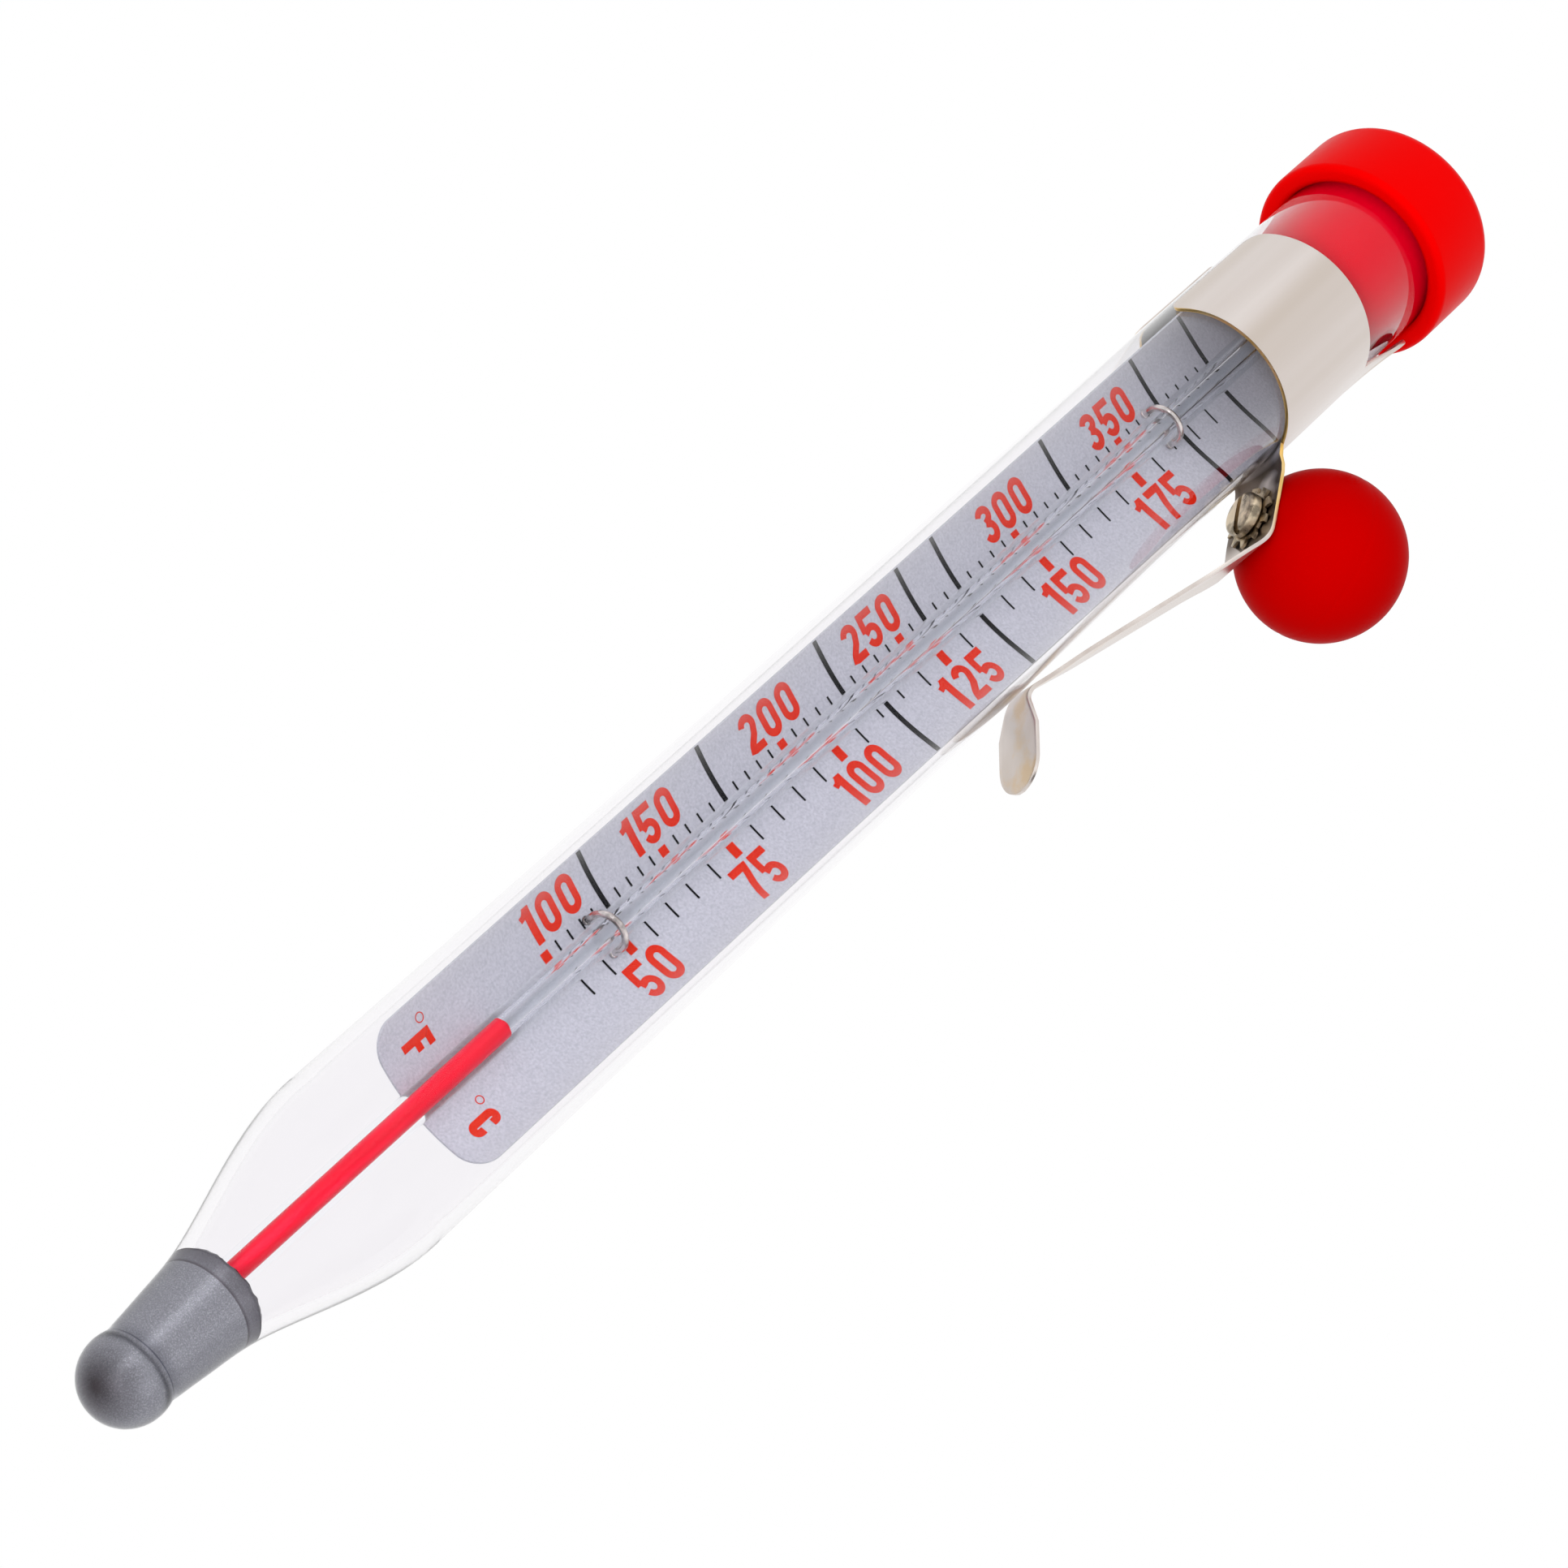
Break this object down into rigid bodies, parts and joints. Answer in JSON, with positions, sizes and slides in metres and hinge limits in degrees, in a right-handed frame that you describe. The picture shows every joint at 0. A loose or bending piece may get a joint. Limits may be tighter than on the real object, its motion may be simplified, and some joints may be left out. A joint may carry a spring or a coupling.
{
  "type": "glass spirit thermometer",
  "caption": "Sealed glass tube thermometer with a printed scale, a capillary stem, a push-on cap and a sliding spring clip with a ball knob.",
  "frame": {"origin": "on the glass tube's axis at the underside of the end cap", "axes": "+Z along the tube's axis from the tip towards the cap; +X towards the spring clip and its ball knob"},
  "size_m": [0.0396, 0.0222, 0.2024],
  "materials": {
    "clear_glass": "clear polished glass",
    "cap_plastic": "satin moulded red plastic",
    "knob_plastic": "satin moulded red plastic",
    "spring_steel": "satin rolled stainless sheet",
    "scale_aluminium": "satin printed sheet",
    "red_spirit": "dyed liquid",
    "grey_filling": "grainy metallic packing",
    "cork": "pressed cork",
    "bright_wire": "bright drawn wire",
    "plated_steel": "plated and slightly tarnished",
    "brass": "turned brass"
  },
  "bodies": {
    "clip": {"clip_band": "spring_steel", "lock_washer": "plated_steel", "knob_screw": "plated_steel", "knob_insert": "brass", "knob_ball": "knob_plastic"},
    "arm": {"clip_arm": "spring_steel"},
    "tube": {"glass_tube": "clear_glass", "end_cap": "cap_plastic", "top_pad": "cork"},
    "scale": {"tip_filling": "grey_filling", "capillary_stem": "clear_glass", "spirit_reservoir": "red_spirit", "spirit_column": "red_spirit", "scale_plate": "scale_aluminium", "tie_wire_lower": "bright_wire", "tie_wire_upper": "bright_wire"},
    "reading": {"spirit_meniscus": "red_spirit"}
  },
  "joints": [
    {"name": "arm_flex", "type": "hinge", "parent": "clip", "child": "arm", "pos_m": [0.01437, 0, -0.03995], "axis": [0, -1, 0], "range_deg": [0, 12], "stiffness_Nm_per_rad": 1, "springref_deg": -2.86},
    {"name": "tube_slide", "type": "slide", "parent": "clip", "child": "tube", "axis": [0, 0, 1], "range_m": [-0.002, 0.08]},
    {"name": "tube_turn", "type": "hinge", "parent": "tube", "child": "scale", "pos_m": [0, 0, 0], "axis": [0, 0, 1], "continuous": true},
    {"name": "spirit_rise", "type": "slide", "parent": "scale", "child": "reading", "axis": [0, 0, 1], "range_m": [-0.008, 0.118], "deforming": ["spirit_column"]}
  ]
}
